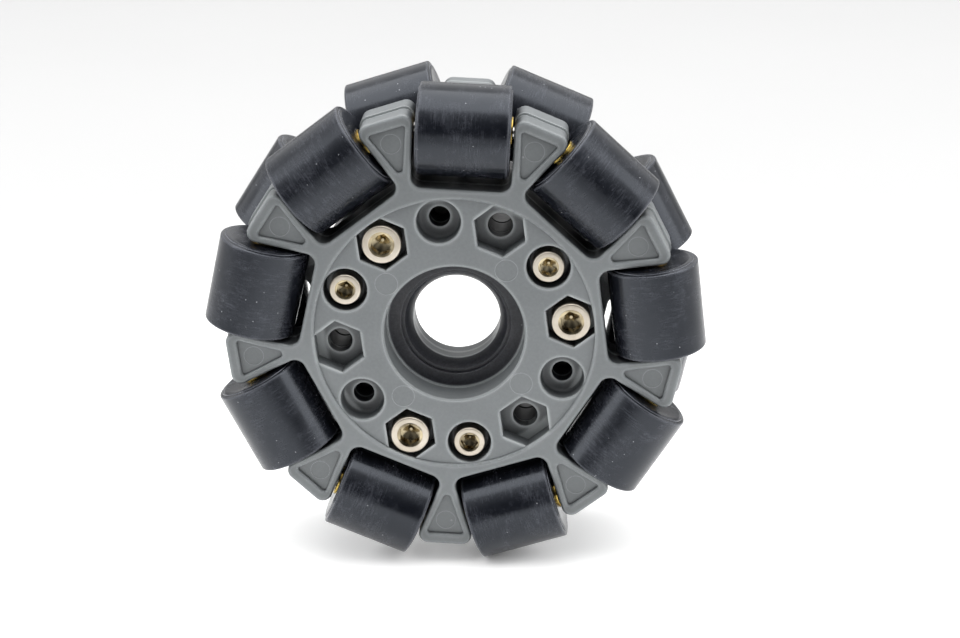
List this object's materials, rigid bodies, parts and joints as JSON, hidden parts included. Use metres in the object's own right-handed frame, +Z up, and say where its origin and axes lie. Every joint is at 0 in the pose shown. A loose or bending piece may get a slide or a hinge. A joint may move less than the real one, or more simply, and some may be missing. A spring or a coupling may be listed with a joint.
{
  "type": "omni wheel",
  "caption": "Double-row omni wheel: grey plastic frame, black barrel rollers on tangential pins with brass bushings, staggered rows, bolt circle and bearing bore.",
  "frame": {"origin": "the wheel's centre, on its axis at mid-width", "axes": "+Y along the wheel's axis from the front to the rear, +Z up; the wheel stands on its rollers, turned 3.3 degrees about +Y from its symmetrical position"},
  "size_m": [0.1022, 0.0376, 0.1018],
  "materials": {
    "grey_plastic": "satin glass-filled nylon",
    "black_plastic": "matte",
    "rubber": "satin, fine turned lines",
    "brass": "bright",
    "steel": "ground",
    "nickel_screw": "nickel plated, satin"
  },
  "bodies": {
    "hub": {"front_plate": "grey_plastic", "front_core": "grey_plastic", "front_bore_ring": "black_plastic", "front_axle_pins": "steel", "rear_plate": "grey_plastic", "rear_core": "grey_plastic", "rear_bore_ring": "black_plastic", "rear_axle_pins": "steel", "large_screws": "nickel_screw", "lock_nuts": "nickel_screw", "front_small_screws": "nickel_screw", "rear_small_screws": "nickel_screw"},
    "front_roller_1": {"front_roller_1": "rubber", "front_bushings_1": "brass"},
    "front_roller_2": {"front_roller_2": "rubber", "front_bushings_2": "brass"},
    "front_roller_3": {"front_roller_3": "rubber", "front_bushings_3": "brass"},
    "front_roller_4": {"front_roller_4": "rubber", "front_bushings_4": "brass"},
    "front_roller_5": {"front_roller_5": "rubber", "front_bushings_5": "brass"},
    "front_roller_6": {"front_roller_6": "rubber", "front_bushings_6": "brass"},
    "front_roller_7": {"front_roller_7": "rubber", "front_bushings_7": "brass"},
    "front_roller_8": {"front_roller_8": "rubber", "front_bushings_8": "brass"},
    "front_roller_9": {"front_roller_9": "rubber", "front_bushings_9": "brass"},
    "rear_roller_1": {"rear_roller_1": "rubber", "rear_bushings_1": "brass"},
    "rear_roller_2": {"rear_roller_2": "rubber", "rear_bushings_2": "brass"},
    "rear_roller_3": {"rear_roller_3": "rubber", "rear_bushings_3": "brass"},
    "rear_roller_4": {"rear_roller_4": "rubber", "rear_bushings_4": "brass"},
    "rear_roller_5": {"rear_roller_5": "rubber", "rear_bushings_5": "brass"},
    "rear_roller_6": {"rear_roller_6": "rubber", "rear_bushings_6": "brass"},
    "rear_roller_7": {"rear_roller_7": "rubber", "rear_bushings_7": "brass"},
    "rear_roller_8": {"rear_roller_8": "rubber", "rear_bushings_8": "brass"},
    "rear_roller_9": {"rear_roller_9": "rubber", "rear_bushings_9": "brass"}
  },
  "joints": [
    {"name": "front_roller_1_spin", "type": "hinge", "parent": "hub", "child": "front_roller_1", "pos_m": [0.00238, -0.00953, 0.04121], "axis": [-0.9983, 0, 0.0576], "continuous": true},
    {"name": "front_roller_2_spin", "type": "hinge", "parent": "hub", "child": "front_roller_2", "pos_m": [-0.02467, -0.00953, 0.03309], "axis": [-0.8018, 0, -0.5976], "continuous": true},
    {"name": "front_roller_3_spin", "type": "hinge", "parent": "hub", "child": "front_roller_3", "pos_m": [-0.04017, -0.00953, 0.0095], "axis": [-0.23, 0, -0.9732], "continuous": true},
    {"name": "front_roller_4_spin", "type": "hinge", "parent": "hub", "child": "front_roller_4", "pos_m": [-0.03687, -0.00953, -0.01855], "axis": [0.4493, 0, -0.8934], "continuous": true},
    {"name": "front_roller_5_spin", "type": "hinge", "parent": "hub", "child": "front_roller_5", "pos_m": [-0.01633, -0.00953, -0.03791], "axis": [0.9184, 0, -0.3955], "continuous": true},
    {"name": "front_roller_6_spin", "type": "hinge", "parent": "hub", "child": "front_roller_6", "pos_m": [0.01186, -0.00953, -0.03953], "axis": [0.9578, 0, 0.2874], "continuous": true},
    {"name": "front_roller_7_spin", "type": "hinge", "parent": "hub", "child": "front_roller_7", "pos_m": [0.0345, -0.00953, -0.02266], "axis": [0.549, 0, 0.8358], "continuous": true},
    {"name": "front_roller_8_spin", "type": "hinge", "parent": "hub", "child": "front_roller_8", "pos_m": [0.04099, -0.00953, 0.00482], "axis": [-0.1167, 0, 0.9932], "continuous": true},
    {"name": "front_roller_9_spin", "type": "hinge", "parent": "hub", "child": "front_roller_9", "pos_m": [0.02831, -0.00953, 0.03004], "axis": [-0.7278, 0, 0.6858], "continuous": true},
    {"name": "rear_roller_1_spin", "type": "hinge", "parent": "hub", "child": "rear_roller_1", "pos_m": [-0.01186, 0.00953, 0.03953], "axis": [-0.9578, 0, -0.2874], "continuous": true},
    {"name": "rear_roller_2_spin", "type": "hinge", "parent": "hub", "child": "rear_roller_2", "pos_m": [0.01633, 0.00953, 0.03791], "axis": [-0.9184, 0, 0.3955], "continuous": true},
    {"name": "rear_roller_3_spin", "type": "hinge", "parent": "hub", "child": "rear_roller_3", "pos_m": [0.03687, 0.00953, 0.01855], "axis": [-0.4493, 0, 0.8934], "continuous": true},
    {"name": "rear_roller_4_spin", "type": "hinge", "parent": "hub", "child": "rear_roller_4", "pos_m": [0.04017, 0.00953, -0.0095], "axis": [0.23, 0, 0.9732], "continuous": true},
    {"name": "rear_roller_5_spin", "type": "hinge", "parent": "hub", "child": "rear_roller_5", "pos_m": [0.02467, 0.00953, -0.03309], "axis": [0.8018, 0, 0.5976], "continuous": true},
    {"name": "rear_roller_6_spin", "type": "hinge", "parent": "hub", "child": "rear_roller_6", "pos_m": [-0.00238, 0.00953, -0.04121], "axis": [0.9983, 0, -0.0576], "continuous": true},
    {"name": "rear_roller_7_spin", "type": "hinge", "parent": "hub", "child": "rear_roller_7", "pos_m": [-0.02831, 0.00953, -0.03004], "axis": [0.7278, 0, -0.6858], "continuous": true},
    {"name": "rear_roller_8_spin", "type": "hinge", "parent": "hub", "child": "rear_roller_8", "pos_m": [-0.04099, 0.00953, -0.00482], "axis": [0.1167, 0, -0.9932], "continuous": true},
    {"name": "rear_roller_9_spin", "type": "hinge", "parent": "hub", "child": "rear_roller_9", "pos_m": [-0.0345, 0.00953, 0.02266], "axis": [-0.549, 0, -0.8358], "continuous": true}
  ]
}
